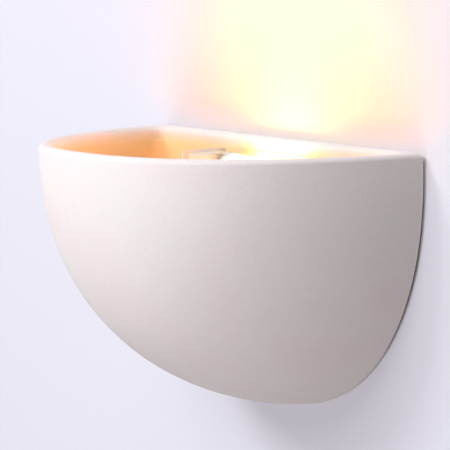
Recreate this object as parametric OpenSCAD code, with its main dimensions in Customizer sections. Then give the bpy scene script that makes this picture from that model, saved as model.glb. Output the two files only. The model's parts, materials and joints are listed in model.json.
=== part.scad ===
// Wall uplighter: a quarter-round bisque bowl that hangs on a steel strap and hides a double-ended lamp.
// Origin: centre of the two wall screws, on the wall. X runs along the wall, -Y out of it, +Z up.

/* [Shade] */
// Width of the shade along the wall
shade_w = 250; // [230:1:290]
// Distance from the wall to the front of the shade
projection = 120; // [108:1:145]
// Height of the shade from its rim to its lowest point
shade_h = 130; // [115:1:155]
// Height of the rim above the wall screws
rim_z = 45; // [44:0.5:52]
// Thickness of the bowl's wall
wall_t = 7; // [5.5:0.25:9]
// Thickness of the bowl at its lowest point
floor_t = 9; // [7:0.5:13]
// Thickness of the flat back wall
back_t = 7; // [5.5:0.25:8]
// Exponent of the rim's plan along the wall, 2 for an ellipse
plan_x_pow = 2.45; // [2:0.05:3]
// Exponent of the rim's plan out of the wall
plan_y_pow = 1.93; // [1.8:0.01:2.4]
// Exponent of the side profile downwards
side_z_pow = 2.24; // [2:0.02:2.6]
// Exponent of the side profile outwards
side_r_pow = 2; // [1.9:0.02:2.3]

/* [Rim] */
// Radius on the inner and outer edge of the rim
rim_r = 3; // [1:0.25:3.5]
// Depth of the thinner band inside the rim
band_h = 7; // [5:0.25:9]
// How far the band stands back from the wall below it
band_step = 0.5; // [0.2:0.1:0.8]
// Radius of the upright corners inside the bowl
inner_corner_r = 9; // [4:0.5:14]
// Radius of the edge that meets the wall
back_edge_r = 1.5; // [0.5:0.25:2]

/* [Wall seal] */
// Thickness of the foam strip, pressed
seal_t = 1; // [0.5:0.1:1.5]
// Width of the foam strip
seal_w = 8; // [5:0.5:10]
// How far the strip stays inside the shade's edge
seal_inset = 2; // [1.5:0.25:4]

/* [Wall strap] */
// Length of the steel strap
strap_l = 122; // [118:1:150]
// Height of the strap
strap_h = 24; // [20:0.5:27]
// Thickness of the strap
strap_t = 2; // [1.6:0.1:2.5]
// Corner radius of the strap
strap_corner_r = 3; // [1:0.5:6]
// Distance between the two wall screws
screw_spacing = 60; // [56:1:62]
// Width of each screw slot
slot_w = 4.6; // [4:0.1:5.4]
// Length of each screw slot
slot_l = 10; // [8:0.5:12]
// Distance between the two studs
stud_spacing = 98; // [96:1:100]
// Diameter of each stud
stud_d = 4; // [3:0.5:5]
// Diameter of a stud's flush head
stud_head_d = 6.4; // [6:0.2:7.5]
// Thickness of a stud's flush head
stud_head_t = 0.8; // [0.5:0.1:1.2]

/* [Cable entry] */
// Bore of the rubber grommet
cable_d = 9; // [6:0.5:10]
// Diameter of the hole in the strap
grommet_hole_d = 12; // [11.5:0.5:14]
// Diameter of the grommet's collar
grommet_collar_d = 17; // [15.5:0.5:19]
// Thickness of the grommet's collar
grommet_collar_t = 3; // [2:0.5:4]
// Bore of the bush in the lamp carrier
bush_d = 10; // [8:0.5:11]
// Distance from the window in the back wall to the middle of each stud
window_margin = 7; // [6:0.5:9]
// Height of the window in the back wall
window_h = 28; // [27:0.5:30]
// Corner radius of the window
window_r = 5; // [2:0.5:8]

/* [Lamp carrier] */
// Thickness of the carrier's sheet
sheet_t = 1.2; // [1:0.1:1.5]
// Distance from each end of the lamp to the outside of the end plate
end_room = 16.5; // [16.25:0.25:19]
// Distance from each stud to the end of the carrier's back plate
stud_margin = 6.5; // [5:0.5:8]
// Depth of the carrier's back plate below the wall screws
carrier_drop = 18; // [16.5:0.5:22]
// Height of the carrier's front lip above the shelf
lip_h = 6; // [3:0.5:9]
// How far the end plates stop below the rim
end_plate_drop = 7.5; // [5:0.5:9]

/* [Reflector] */
// Gap between the lamp and the reflector
reflector_gap = 1; // [0.7:0.1:1.6]
// Thickness of the reflector
reflector_t = 0.6; // [0.4:0.1:0.8]
// Gap between each end of the reflector and the holder
reflector_end_gap = 2.3; // [1:0.1:9]
// Distance between the two rivets
rivet_spacing = 44; // [30:1:50]
// Diameter of each rivet
rivet_d = 3; // [2.4:0.2:3.4]

/* [Lamp] */
// Length of the lamp, end to end
lamp_l = 78; // [76:0.5:79]
// Diameter of the opal tube
lamp_d = 17; // [15:0.5:18]
// Height of the rim above the middle of the lamp
lamp_drop = 17; // [16.5:0.25:19]
// Wall of the opal tube
tube_t = 1; // [0.6:0.1:1.5]
// Length of each end cap without its neck
cap_l = 7; // [6:0.5:8]
// Wall of an end cap round the tube
cap_t = 0.4; // [0.3:0.1:0.6]
// Depth of the tube inside an end cap
cap_grip = 3; // [2:0.5:4]
// Diameter of each neck
neck_d = 7.5; // [7:0.25:8]
// Length of each neck
neck_l = 8; // [7:0.5:8.5]
// Bore in the end of each neck
socket_d = 5.2; // [4.8:0.1:5.6]
// Depth of the bore in the end of each neck
socket_depth = 2.5; // [2:0.1:2.7]
// Width of the light strip's board
board_w = 11; // [8:0.5:12]
// Thickness of the board
board_t = 1; // [0.8:0.1:1.6]
// Side of each light chip
chip_w = 2.8; // [2:0.1:3.2]
// Height of each light chip
chip_h = 0.7; // [0.4:0.1:1]
// Number of light chips
chip_count = 10; // [6:1:12]

/* [Lampholders] */
// Width of each holder
holder_w = 18; // [17.5:0.25:19]
// Height of each holder above the middle of the lamp
holder_rise = 8; // [6.5:0.25:9]
// Length of the bore that guides a contact's tip
guide_l = 1.2; // [1:0.1:1.4]
// Diameter of the contact's tip
tip_d = 4; // [3.6:0.1:4.2]
// Diameter of the contact's collar
collar_d = 5.6; // [5.2:0.1:5.8]
// Thickness of the contact's collar
collar_t = 1; // [0.8:0.1:1.2]
// Diameter of the contact's tail
tail_d = 2.4; // [2:0.1:2.6]
// Bore of the spring chamber
chamber_d = 6.4; // [6:0.1:6.8]
// Travel of the sprung contact
contact_travel = 3; // [2.7:0.1:3.1]
// Diameter of the spring's wire
spring_wire_d = 0.5; // [0.3:0.05:0.55]
// Number of turns of the spring
spring_turns = 4; // [3:1:5]
// Thickness of the brass strip behind each contact
tab_t = 0.6; // [0.4:0.1:0.8]
// Width of the brass strip
tab_w = 4; // [3:0.5:4.4]
// Diameter of the holder screws
holder_screw_d = 3; // [2.5:0.1:3]
// Sideways distance of each holder screw from the lamp
holder_screw_y = 5; // [4.8:0.1:5.6]
// Distance of the holder screws below the lamp
holder_screw_drop = 6.2; // [5.8:0.1:6.6]

/* [Terminal block] */
// Distance between neighbouring ways
pole_pitch = 10; // [9:0.5:10]
// Height of the block along its wires
block_h = 16; // [15:0.5:17]
// Depth of the block
block_d = 12; // [11:0.5:14]
// Height of the block's top edge above the wall screws
block_top = 1; // [-1:0.5:2]
// Outer diameter of each brass clamp
clamp_d = 5.4; // [5:0.1:6]
// Bore of each brass clamp
clamp_bore_d = 3.2; // [2.8:0.1:3.4]
// Depth of the bore at each end of a clamp
clamp_depth = 5.5; // [5:0.25:6]
// Diameter of each clamp screw
clamp_screw_d = 2.6; // [2:0.1:2.8]

/* [Fasteners and wires] */
// Width across the flats of a cap nut
nut_flats = 7; // [6.5:0.1:7.5]
// Height of a cap nut's six flats
nut_h = 3.4; // [3:0.1:4]
// Outer diameter of a fibre washer
washer_d = 10; // [8.5:0.5:10.5]
// Thickness of a fibre washer
washer_t = 0.8; // [0.5:0.1:1.2]
// Diameter of the sleeved wires
wire_d = 2.8; // [2:0.1:3]
// Diameter of a crimped wire end
ferrule_d = 2; // [1.4:0.1:2.2]
// Place of the earth screw along the wall
earth_x = -27; // [-30:0.5:-25]
// Diameter of the earth screw
earth_screw_d = 4; // [3:0.5:4]

/* [Hidden] */
$fn = 64;
eps = 0.01;
over = 1;
fit = 0.3;
running_fit = 0.05;
snug_fit = 0.1;
cast_fit = 0.6;

// Lengths along X: the carrier follows the lamp, and its back plate and the window follow the studs.
carrier_l = lamp_l + 2 * end_room;
plate_l = max(carrier_l, stud_spacing + 2 * stud_margin);
window_w = stud_spacing - 2 * window_margin;

// Places along Y, counted out of the wall.
back_y = -seal_t;
back_inner_y = back_y - back_t;
strap_front_y = -strap_t;
carrier_y = min(back_inner_y, strap_front_y - fit);
plate_front_y = carrier_y - sheet_t;
shade_depth = projection - seal_t;

// The lamp lies in a half-round reflector on the carrier's shelf.
lamp_r = lamp_d / 2;
cap_r = lamp_r + snug_fit + cap_t;
reflector_r = cap_r + reflector_gap;
reflector_out_r = reflector_r + reflector_t;
lamp_y = plate_front_y - snug_fit - max(reflector_out_r, holder_w / 2);
lamp_z = rim_z - lamp_drop;
shelf_top = lamp_z - reflector_out_r;
shelf_bottom = shelf_top - sheet_t;
shelf_front_y = lamp_y - max(reflector_out_r, holder_w / 2) - snug_fit - sheet_t;
end_plate_top = rim_z - end_plate_drop;

// Places along X, counted from the middle of the lamp.
lamp_end = lamp_l / 2;
cap_end = lamp_end - neck_l;
cap_mouth = cap_end - cap_l;
tube_end = cap_mouth + cap_grip;
contact_x = lamp_end - socket_depth;
holder_back = carrier_l / 2 - sheet_t;
holder_front = cap_end + contact_travel + fit;
holder_l = holder_back - holder_front;
reflector_l = 2 * (holder_front - reflector_end_gap);
cradle_end = lamp_end + contact_travel + 2 * fit;
cradle_l = cradle_end - holder_front;
cradle_d = neck_d + 2 * fit;
guide_end = cradle_end + guide_l;
collar_x = guide_end + fit;
chamber_end = holder_back - contact_travel - fit;
tab_x = chamber_end - tab_t;
tab_rise = 4;
tab_bottom = shelf_top + tab_rise;
wire_x = chamber_end - tab_t / 2;

// Studs, cap nuts and what they hold.
hex_scale = 1 / cos(30);
washer_y = plate_front_y;
nut_y = washer_y - washer_t;
nut_dome_r = nut_flats / 2 - 0.3;
nut_bore_end = 1.6;
stud_tip_gap = 0.2;
stud_tip_y = nut_y - nut_h - nut_bore_end + stud_tip_gap;
pocket_gap = 0.3;
bush_wall = 2;
bush_flange_w = 3.5;
bush_flange_t = 1.4;
rivet_head_ratio = 1.5;
rivet_tail_t = 0.8;
rivet_head_t = 0.7;

// The terminal block lies midway between the bush and the washer.
block_w = 3 * pole_pitch;
block_x = (bush_d / 2 + bush_flange_w + stud_spacing / 2 - washer_d / 2) / 2;
block_z = block_top - block_h / 2;
pole_inset = 0.6;
pole_y = plate_front_y - block_d / 2 + pole_inset;
clamp_web = 1;
clamp_h = 2 * clamp_depth + clamp_web;
clamp_screw_z = (clamp_depth + clamp_web) / 2;
clamp_screw_l = 7;
driver_slot_w = 0.6;
driver_slot_depth = 0.8;
tower_gap = 1.6;
tower_d = pole_pitch - tower_gap;
tower_h = 2;
entry_play = 0.6;
screw_way_play = 1.2;
block_front_y = plate_front_y - block_d;
pole_x = [for (i = [-1 : 1]) block_x + i * pole_pitch];
sleeve_depth = 1.6;
ferrule_gap = 0.2;
wire_end_z = block_top - sleeve_depth;
ferrule_l = wire_end_z - (block_z + clamp_web / 2) - ferrule_gap;
block_screw_d = 2.4;
block_screw_end = 2;
block_screw_x = block_x + pole_pitch / 2;

// Earth tag: a ring under the earth screw and a barrel that takes the wire.
tag_t = 0.8;
tag_neck_w = 3.2;
tag_ring_d = earth_screw_d + 4;
barrel_d = wire_d + 1.2;
barrel_l = 5;
barrel_gap = 1;
barrel_bore = 1;
barrel_x = earth_x + tag_ring_d / 2 + barrel_gap;
barrel_y = plate_front_y - barrel_d / 2;
earth_screw_end = 3;

// Screw heads and the nuts that lie in slots of the holders.
pan_head = 1.9;
pan_head_ratio = 1.9;
screw_chamfer = 0.3;
holder_nut_t = 2.4;
holder_nut_flats = 5.5;
holder_nut_web = 1;
holder_nut_x = tab_x - holder_nut_web - holder_nut_t;
holder_screw_l = holder_back + sheet_t - holder_nut_x + 1.5;
holder_hole_front_x = holder_nut_x - 3;

// Ends of the contacts and the lamp.
tip_chamfer = 0.5;
neck_chamfer = 0.4;
pin_r = 0.9;
button_t = 1;
cap_shoulder = 1.5;
cap_rim = 0.5;
spring_gap = 0.02;

// Shade outline ------------------------------------------------------------

// How finely the bowl, its edges, the wires and the spring are drawn.
plan_steps = 40;
outer_rows = 18;
inner_rows = 15;
edge_steps = 3;
corner_steps = 4;
back_steps = 4;
wire_steps = 4;
wire_sides = 10;
coil_steps = 14;
coil_sides = 6;

rim_edge = min(rim_r, (wall_t - band_step) / 2 - 0.1);
inner_h = shade_h - floor_t;
inner_w = shade_w / 2 - wall_t;
inner_d = shade_depth - wall_t;

// Share of the plan that is left at a depth below the rim.
function side_share(depth, h) = pow(max(1 - pow(depth / h, side_z_pow), 0), 1 / side_r_pow);

// A point of the plan at turn u, for half width a and depth b.
function plan_point(u, a, b) = [
  a * sign(cos(u)) * pow(abs(cos(u)), 2 / plan_x_pow),
  back_y - b * pow(abs(sin(u)), 2 / plan_y_pow)
];

// The turn at which the plan is a given distance out of the back face.
function turn_at(out, b) = asin(pow(min(max(out / b, 0), 1), plan_y_pow / 2));

function bend(p, q, s, t) = (1 - t) * (1 - t) * p + 2 * t * (1 - t) * q + t * t * s;

// One closed D-shaped loop with rounded back corners, from the right corner over the front to the left.
function loop(a, b, back_out, r) =
  let (
    room = max(b - back_out, 0),
    rr = min(r, room * 0.4),
    u0 = turn_at(back_out, b),
    u1 = turn_at(back_out + rr, b),
    corner = plan_point(u0, a, b),
    leave = plan_point(u1, a, b),
    start = [max(corner.x - rr, corner.x * 0.4), corner.y],
    turn = [for (i = [0 : corner_steps - 1]) bend(start, corner, leave, i / corner_steps)],
    front = [for (i = [0 : plan_steps]) plan_point(u1 + (180 - 2 * u1) * i / plan_steps, a, b)],
    back = [for (i = [1 : back_steps - 1]) [(2 * i / back_steps - 1) * start.x, start.y]]
  )
  concat(turn, front, [for (i = [corner_steps - 1 : -1 : 0]) [-turn[i].x, turn[i].y]], back);

function outer_loop(depth) =
  let (s = side_share(depth, shade_h)) loop(s * shade_w / 2, s * shade_depth, 0, back_edge_r);

function stand_back(depth) =
  band_step * min(max((band_h + band_step - depth) / band_step, 0), 1);

function inner_loop(depth) =
  let (s = side_share(depth, inner_h), back = stand_back(depth))
  loop(s * inner_w + back, s * inner_d + back, back_t - back, inner_corner_r);

function at_height(points, z) = [for (p = points) [p.x, p.y, z]];

// The rim runs over the wall from the outer loop to the inner one, with a rounded edge on each.
function rim_row(share, depth) =
  at_height((1 - share) * outer_loop(depth) + share * inner_loop(depth), rim_z - depth);

rim_share = rim_edge / (wall_t - band_step);
outer_depths = [for (i = [outer_rows - 1 : -1 : 0])
  rim_edge + (shade_h - rim_edge) * sin(90 * i / outer_rows)];
band_end = band_h + band_step;
inner_end = inner_h * pow(1 - pow(back_t / inner_d, side_r_pow), 1 / side_z_pow);
inner_depths = concat(
  [(rim_edge + band_h) / 2, band_h],
  [for (i = [0 : inner_rows - 1]) band_end + (inner_end - band_end) * sin(90 * i / inner_rows)]
);

shade_loops = concat(
  [for (d = outer_depths) at_height(outer_loop(d), rim_z - d)],
  [for (i = [1 : edge_steps])
    rim_row(rim_share * (1 - cos(90 * i / edge_steps)), rim_edge * (1 - sin(90 * i / edge_steps)))],
  [for (i = [edge_steps : -1 : 0])
    rim_row(1 - rim_share * (1 - cos(90 * i / edge_steps)), rim_edge * (1 - sin(90 * i / edge_steps)))],
  [for (d = inner_depths) at_height(inner_loop(d), rim_z - d)]
);

module skin(loops, first_pole, last_pole) {
  n = len(loops[0]);
  rows = len(loops);
  points = concat([for (l = loops) each l], [first_pole, last_pole]);
  faces = concat(
    [for (r = [0 : rows - 2]) for (i = [0 : n - 1])
      [r * n + i, (r + 1) * n + (i + 1) % n, (r + 1) * n + i]],
    [for (r = [0 : rows - 2]) for (i = [0 : n - 1])
      [r * n + i, r * n + (i + 1) % n, (r + 1) * n + (i + 1) % n]],
    [for (i = [0 : n - 1]) [rows * n, (i + 1) % n, i]],
    [for (i = [0 : n - 1]) [rows * n + 1, (rows - 1) * n + i, (rows - 1) * n + (i + 1) % n]]
  );
  polyhedron(points, faces, convexity = 6);
}

// Helpers --------------------------------------------------------------------

// Turns a shape that is drawn along +Z so that it runs out of the wall, along -Y.
module out_of_wall(x, y, z) {
  translate([x, y, z]) rotate([90, 0, 0]) children();
}

// Turns a shape that is drawn along +Z so that it runs along +X.
module along_x(x) {
  translate([x, lamp_y, lamp_z]) rotate([0, 90, 0]) children();
}

module both_ends() {
  children();
  mirror([1, 0, 0]) children();
}

module rounded_plate(w, h, r) {
  square([w - 2 * r, h], center = true);
  square([w, h - 2 * r], center = true);
  for (x = [-1, 1], z = [-1, 1]) translate([x * (w / 2 - r), z * (h / 2 - r)]) circle(r);
}

module slot(l, w) {
  square([l - w, w], center = true);
  for (x = [-1, 1]) translate([x * (l - w) / 2, 0]) circle(w / 2);
}

module pan_screw(d, l) {
  head_r = d * pan_head_ratio / 2;
  rotate_extrude() polygon([
    [0, -l], [d / 2 - screw_chamfer, -l], [d / 2, screw_chamfer - l], [d / 2, 0], [head_r, 0],
    [head_r, pan_head * 0.4], [head_r * 0.7, pan_head], [0, pan_head]
  ]);
}

module hex_nut(flats, t, bore) {
  difference() {
    cylinder(d = flats * hex_scale, h = t, $fn = 6);
    translate([0, 0, -over]) cylinder(d = bore, h = t + 2 * over);
  }
}

// A tube along a smooth line through the given points.
function smooth_point(p, q, r, s, t) = 0.5 * (
  2 * q + (r - p) * t + (2 * p - 5 * q + 4 * r - s) * t * t + (3 * q - p - 3 * r + s) * t * t * t
);

function smooth_line(p, steps) = concat(
  [for (i = [0 : len(p) - 2]) for (k = [0 : steps - 1])
    smooth_point(p[max(i - 1, 0)], p[i], p[i + 1], p[min(i + 2, len(p) - 1)], k / steps)],
  [p[len(p) - 1]]
);

function unit(v) = v / norm(v);

// The skin of a tube: rings of points, one after the other, with a flat end on each side.
module tube(points, sides) {
  last = len(points) / sides - 1;
  faces = concat(
    [for (i = [0 : last - 1]) for (k = [0 : sides - 1])
      [i * sides + k, i * sides + (k + 1) % sides, (i + 1) * sides + (k + 1) % sides]],
    [for (i = [0 : last - 1]) for (k = [0 : sides - 1])
      [i * sides + k, (i + 1) * sides + (k + 1) % sides, (i + 1) * sides + k]],
    [[for (k = [sides - 1 : -1 : 0]) k]],
    [[for (k = [0 : sides - 1]) last * sides + k]]
  );
  polyhedron(points, faces, convexity = 6);
}

module wire(route, d) {
  line = smooth_line(route, wire_steps);
  sides = wire_sides;
  last = len(line) - 1;
  tube([for (i = [0 : last])
    let (
      t = unit(i == 0 ? route[1] - route[0]
        : i == last ? route[len(route) - 1] - route[len(route) - 2]
        : line[i + 1] - line[i - 1]),
      a = unit(cross(t, [0, 1, 0])),
      b = cross(a, t)
    )
    for (k = [0 : sides - 1])
      line[i] + d / 2 * (cos(360 * k / sides) * a + sin(360 * k / sides) * b)], sides);
}

// Shade and wall pieces -----------------------------------------------------------

module shade() {
  color("#f7f3f0")
    difference() {
      skin(shade_loops, [0, back_y, rim_z - shade_h], [0, back_inner_y, rim_z - inner_end]);
      out_of_wall(0, over, 0) linear_extrude(seal_t + back_t + 2 * over)
        rounded_plate(window_w, window_h, window_r);
      out_of_wall(0, over, 0) linear_extrude(strap_t + over)
        rounded_plate(strap_l + 2 * pocket_gap, strap_h + 2 * pocket_gap, strap_corner_r);
      for (x = [-1, 1]) out_of_wall(x * stud_spacing / 2, over, 0)
        cylinder(d = stud_d + 2 * cast_fit, h = seal_t + back_t + 2 * over);
    }
}

// The outline of the shade's back, drawn inwards by some distance.
function back_outline(inset) = [for (i = [0 : plan_steps])
  let (
    a = 180 * i / plan_steps,
    half_w = shade_w / 2 - inset,
    top = rim_z - rim_edge - inset / 2,
    h = top - (rim_z - shade_h + inset)
  )
  [half_w * sign(cos(a)) * pow(abs(cos(a)), 2 / side_r_pow), top - h * pow(sin(a), 2 / side_z_pow)]];

module wall_seal() {
  color("#3a3a38")
    out_of_wall(0, 0, 0) linear_extrude(seal_t) difference() {
      polygon(back_outline(seal_inset));
      polygon(back_outline(seal_inset + seal_w));
    }
}

module wall_strap() {
  color("#aeb2b4")
    difference() {
      out_of_wall(0, 0, 0) linear_extrude(strap_t) difference() {
        rounded_plate(strap_l, strap_h, strap_corner_r);
        for (x = [-1, 1]) translate([x * screw_spacing / 2, 0]) slot(slot_l, slot_w);
        circle(d = grommet_hole_d);
        for (x = [-1, 1]) translate([x * stud_spacing / 2, 0]) circle(d = stud_d + 2 * running_fit);
      }
      for (x = [-1, 1]) out_of_wall(x * stud_spacing / 2, over, 0)
        cylinder(d = stud_head_d + 2 * running_fit, h = over + stud_head_t + running_fit);
    }
}

module strap_studs() {
  color("#c7c9ca")
    for (x = [-1, 1]) out_of_wall(x * stud_spacing / 2, 0, 0) {
      cylinder(d = stud_head_d, h = stud_head_t);
      cylinder(d = stud_d, h = -stud_tip_y);
    }
}

module cable_grommet() {
  color("#2b2b2b")
    out_of_wall(0, 0, 0) difference() {
      union() {
        cylinder(d = grommet_hole_d - 2 * running_fit, h = strap_t + eps);
        translate([0, 0, strap_t]) cylinder(d = grommet_collar_d, h = grommet_collar_t);
      }
      translate([0, 0, -over]) cylinder(d = cable_d, h = strap_t + grommet_collar_t + 2 * over);
    }
}

// Lamp carrier ----------------------------------------------------------------------

module lamp_carrier() {
  half_l = carrier_l / 2;
  depth = plate_front_y - shelf_front_y + sheet_t;
  color("#f4f3ef")
    difference() {
      union() {
        translate([-plate_l / 2, plate_front_y, -carrier_drop])
          cube([plate_l, sheet_t, carrier_drop + shelf_top]);
        translate([-half_l, shelf_front_y, shelf_bottom]) cube([carrier_l, depth, sheet_t]);
        translate([-half_l, shelf_front_y, shelf_bottom]) cube([carrier_l, sheet_t, sheet_t + lip_h]);
        both_ends() translate([holder_back, shelf_front_y, shelf_bottom])
          cube([sheet_t, depth, end_plate_top - shelf_bottom]);
      }
      for (x = [-1, 1]) {
        plate_hole(x * stud_spacing / 2, 0, stud_d + 2 * fit);
        shelf_hole(x * wire_x, wire_d + 2 * fit);
        shelf_hole(x * rivet_spacing / 2, rivet_d + 2 * snug_fit);
        for (y = [-1, 1])
          translate([x * (half_l - sheet_t / 2), lamp_y + y * holder_screw_y, lamp_z - holder_screw_drop])
            rotate([0, 90, 0]) cylinder(d = holder_screw_d + 2 * fit, h = sheet_t + over, center = true);
      }
      plate_hole(0, 0, bush_d + 2 * bush_wall);
      plate_hole(block_screw_x, block_z, block_screw_d + 2 * running_fit);
      plate_hole(earth_x, 0, earth_screw_d + 2 * running_fit);
    }
}

module plate_hole(x, z, d) {
  out_of_wall(x, 0, z) cylinder(d = d, h = over - plate_front_y);
}

module shelf_hole(x, d) {
  translate([x, lamp_y, shelf_bottom - over]) cylinder(d = d, h = sheet_t + 2 * over);
}

module carrier_bush() {
  color("#e9e7e0")
    out_of_wall(0, carrier_y, 0) difference() {
      union() {
        cylinder(d = bush_d + 2 * bush_wall - 2 * running_fit, h = sheet_t + eps);
        translate([0, 0, sheet_t]) cylinder(d = bush_d + 2 * bush_flange_w, h = bush_flange_t);
      }
      translate([0, 0, -over]) cylinder(d = bush_d, h = sheet_t + bush_flange_t + 2 * over);
    }
}

module fibre_washers() {
  color("#8c3f2f")
    for (x = [-1, 1]) out_of_wall(x * stud_spacing / 2, washer_y, 0) difference() {
      cylinder(d = washer_d, h = washer_t);
      translate([0, 0, -over]) cylinder(d = stud_d + 2 * snug_fit, h = washer_t + 2 * over);
    }
}

module cap_nuts() {
  color("#d2d4d6")
    for (x = [-1, 1]) out_of_wall(x * stud_spacing / 2, nut_y, 0) difference() {
      union() {
        cylinder(d = nut_flats * hex_scale, h = nut_h, $fn = 6);
        translate([0, 0, nut_h]) difference() {
          sphere(nut_dome_r);
          translate([0, 0, -nut_flats]) cube(2 * nut_flats, center = true);
        }
      }
      translate([0, 0, -over]) cylinder(d = stud_d + 2 * running_fit, h = over + nut_h + nut_bore_end);
    }
}

module reflector() {
  color("#e6e8ea")
    difference() {
      along_x(-reflector_l / 2) rotate([0, 0, -90]) rotate_extrude(angle = 180)
        translate([reflector_r, 0]) square([reflector_t, reflector_l]);
      for (x = [-1, 1]) translate([x * rivet_spacing / 2, lamp_y, shelf_top - over])
        cylinder(d = rivet_d + 2 * snug_fit, h = reflector_out_r);
    }
}

module reflector_rivets() {
  head_r = rivet_d * rivet_head_ratio / 2;
  // The head bears on the curved sheet at its two sides.
  head_z = lamp_z - sqrt(reflector_r * reflector_r - head_r * head_r);
  color("#c9ccce")
    for (x = [-1, 1]) translate([x * rivet_spacing / 2, lamp_y, 0]) {
      translate([0, 0, shelf_bottom - rivet_tail_t]) cylinder(r = head_r, h = rivet_tail_t);
      translate([0, 0, shelf_bottom - eps]) cylinder(d = rivet_d, h = head_z - shelf_bottom + 2 * eps);
      translate([0, 0, head_z]) cylinder(r = head_r, h = rivet_head_t);
    }
}

// Lampholders, drawn at the +X end -------------------------------------------------

module lampholder(is_sprung) {
  difference() {
    translate([holder_front, lamp_y - holder_w / 2, shelf_top])
      cube([holder_l, holder_w, lamp_z + holder_rise - shelf_top]);
    along_x(holder_front - over) cylinder(d = cradle_d, h = cradle_l + over);
    translate([holder_front - over, lamp_y - cradle_d / 2, lamp_z])
      cube([cradle_l + over, cradle_d, holder_rise + over]);
    along_x(cradle_end - over) cylinder(d = tip_d + 2 * running_fit, h = holder_l);
    if (is_sprung) along_x(guide_end) cylinder(d = chamber_d, h = chamber_end - guide_end);
    if (!is_sprung) along_x(collar_x - running_fit)
      cylinder(d = collar_d + 2 * running_fit, h = chamber_end - collar_x + running_fit);
    translate([tab_x - snug_fit, lamp_y - tab_w / 2 - snug_fit, tab_bottom])
      cube([tab_t + 2 * snug_fit, tab_w + 2 * snug_fit, lamp_z + tab_w / 2 + snug_fit - tab_bottom]);
    translate([wire_x, lamp_y, shelf_top - over])
      cylinder(d = wire_d + 2 * snug_fit, h = tab_rise + over);
    for (y = [-1, 1]) translate([0, lamp_y + y * holder_screw_y, lamp_z - holder_screw_drop]) {
      translate([holder_hole_front_x, 0, 0]) rotate([0, 90, 0])
        cylinder(d = holder_screw_d + 2 * snug_fit, h = holder_l);
      translate([holder_nut_x - snug_fit, -holder_nut_flats / 2 - snug_fit, -holder_rise - lamp_r - cap_r])
        cube([holder_nut_t + 2 * snug_fit, holder_nut_flats + 2 * snug_fit,
          holder_rise + lamp_r + cap_r + holder_nut_flats * hex_scale / 2 + snug_fit]);
    }
  }
}

module fixed_lampholder() {
  color("#efece4") mirror([1, 0, 0]) lampholder(false);
}

module sprung_lampholder() {
  color("#efece4") lampholder(true);
}

module at_holder_screws() {
  both_ends() for (y = [-1, 1])
    translate([holder_back + sheet_t, lamp_y + y * holder_screw_y, lamp_z - holder_screw_drop])
      rotate([0, 90, 0]) children();
}

module holder_screws() {
  color("#c7c9ca") at_holder_screws() pan_screw(holder_screw_d, holder_screw_l);
}

module holder_nuts() {
  color("#c7c9ca") at_holder_screws() translate([0, 0, holder_nut_x - holder_back - sheet_t])
    hex_nut(holder_nut_flats, holder_nut_t, holder_screw_d + 2 * running_fit);
}

// A contact from its tip at contact_x to its tail: the tip enters the end of the lamp.
module contact(tail_end) {
  along_x(contact_x) {
    translate([0, 0, tip_chamfer]) cylinder(d = tip_d, h = collar_x - contact_x - tip_chamfer + eps);
    cylinder(d1 = tip_d - 2 * tip_chamfer, d2 = tip_d, h = tip_chamfer);
  }
  along_x(collar_x) cylinder(d = collar_d, h = collar_t);
  along_x(collar_x) cylinder(d = tail_d, h = tail_end - collar_x);
}

module fixed_contact() {
  color("#c9a85a") mirror([1, 0, 0]) contact(tab_x);
}

module sprung_contact() {
  color("#c9a85a") contact(chamber_end);
}

module contact_spring() {
  start = collar_x + collar_t + spring_wire_d / 2 + spring_gap;
  end = tab_x - spring_wire_d / 2 - spring_gap;
  coil_r = (tail_d + 2 * running_fit + chamber_d) / 4;
  total = spring_turns * coil_steps;
  pitch = (end - start) / total;
  color("#b9bcbf") tube([for (i = [0 : total]) for (k = [0 : coil_sides - 1])
    let (
      a = 360 * i / coil_steps,
      b = 360 * k / coil_sides,
      r = coil_r + spring_wire_d / 2 * cos(b)
    )
    [start + i * pitch + spring_wire_d / 2 * sin(b), lamp_y + r * cos(a), lamp_z + r * sin(a)]],
    coil_sides);
}

module contact_strips() {
  color("#c9a85a") both_ends() difference() {
    translate([tab_x, lamp_y - tab_w / 2, tab_bottom])
      cube([tab_t, tab_w, lamp_z + tab_w / 2 - tab_bottom]);
    along_x(tab_x - over) cylinder(d = tail_d + 2 * running_fit, h = tab_t + 2 * over);
  }
}

// Lamp ---------------------------------------------------------------------------------

module lamp_tube() {
  color("#fff1d8")
    along_x(-tube_end) difference() {
      cylinder(r = lamp_r, h = 2 * tube_end);
      translate([0, 0, -over]) cylinder(r = lamp_r - tube_t, h = 2 * (tube_end + over));
    }
}

module lamp_end_caps() {
  color("#f2f0ea")
    both_ends() along_x(0) rotate_extrude() polygon([
      [pin_r + running_fit, tube_end],
      [lamp_r + snug_fit, tube_end],
      [lamp_r + snug_fit, cap_mouth],
      [cap_r, cap_mouth],
      [cap_r, tube_end + cap_rim],
      [neck_d / 2 + cap_shoulder, cap_end],
      [neck_d / 2, cap_end],
      [neck_d / 2, lamp_end - neck_chamfer],
      [neck_d / 2 - neck_chamfer, lamp_end],
      [socket_d / 2, lamp_end],
      [socket_d / 2, contact_x - button_t],
      [pin_r + running_fit, contact_x - button_t]
    ]);
}

module lamp_contacts() {
  color("#c8cacc")
    both_ends() {
      along_x(contact_x - button_t) cylinder(d = socket_d - 2 * snug_fit, h = button_t);
      along_x(tube_end) cylinder(r = pin_r, h = contact_x - tube_end);
    }
}

module lamp_board() {
  half_l = tube_end - snug_fit;
  color("#f4f6f4")
    translate([-half_l, lamp_y - board_w / 2, lamp_z - board_t / 2])
      cube([2 * half_l, board_w, board_t]);
}

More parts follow.
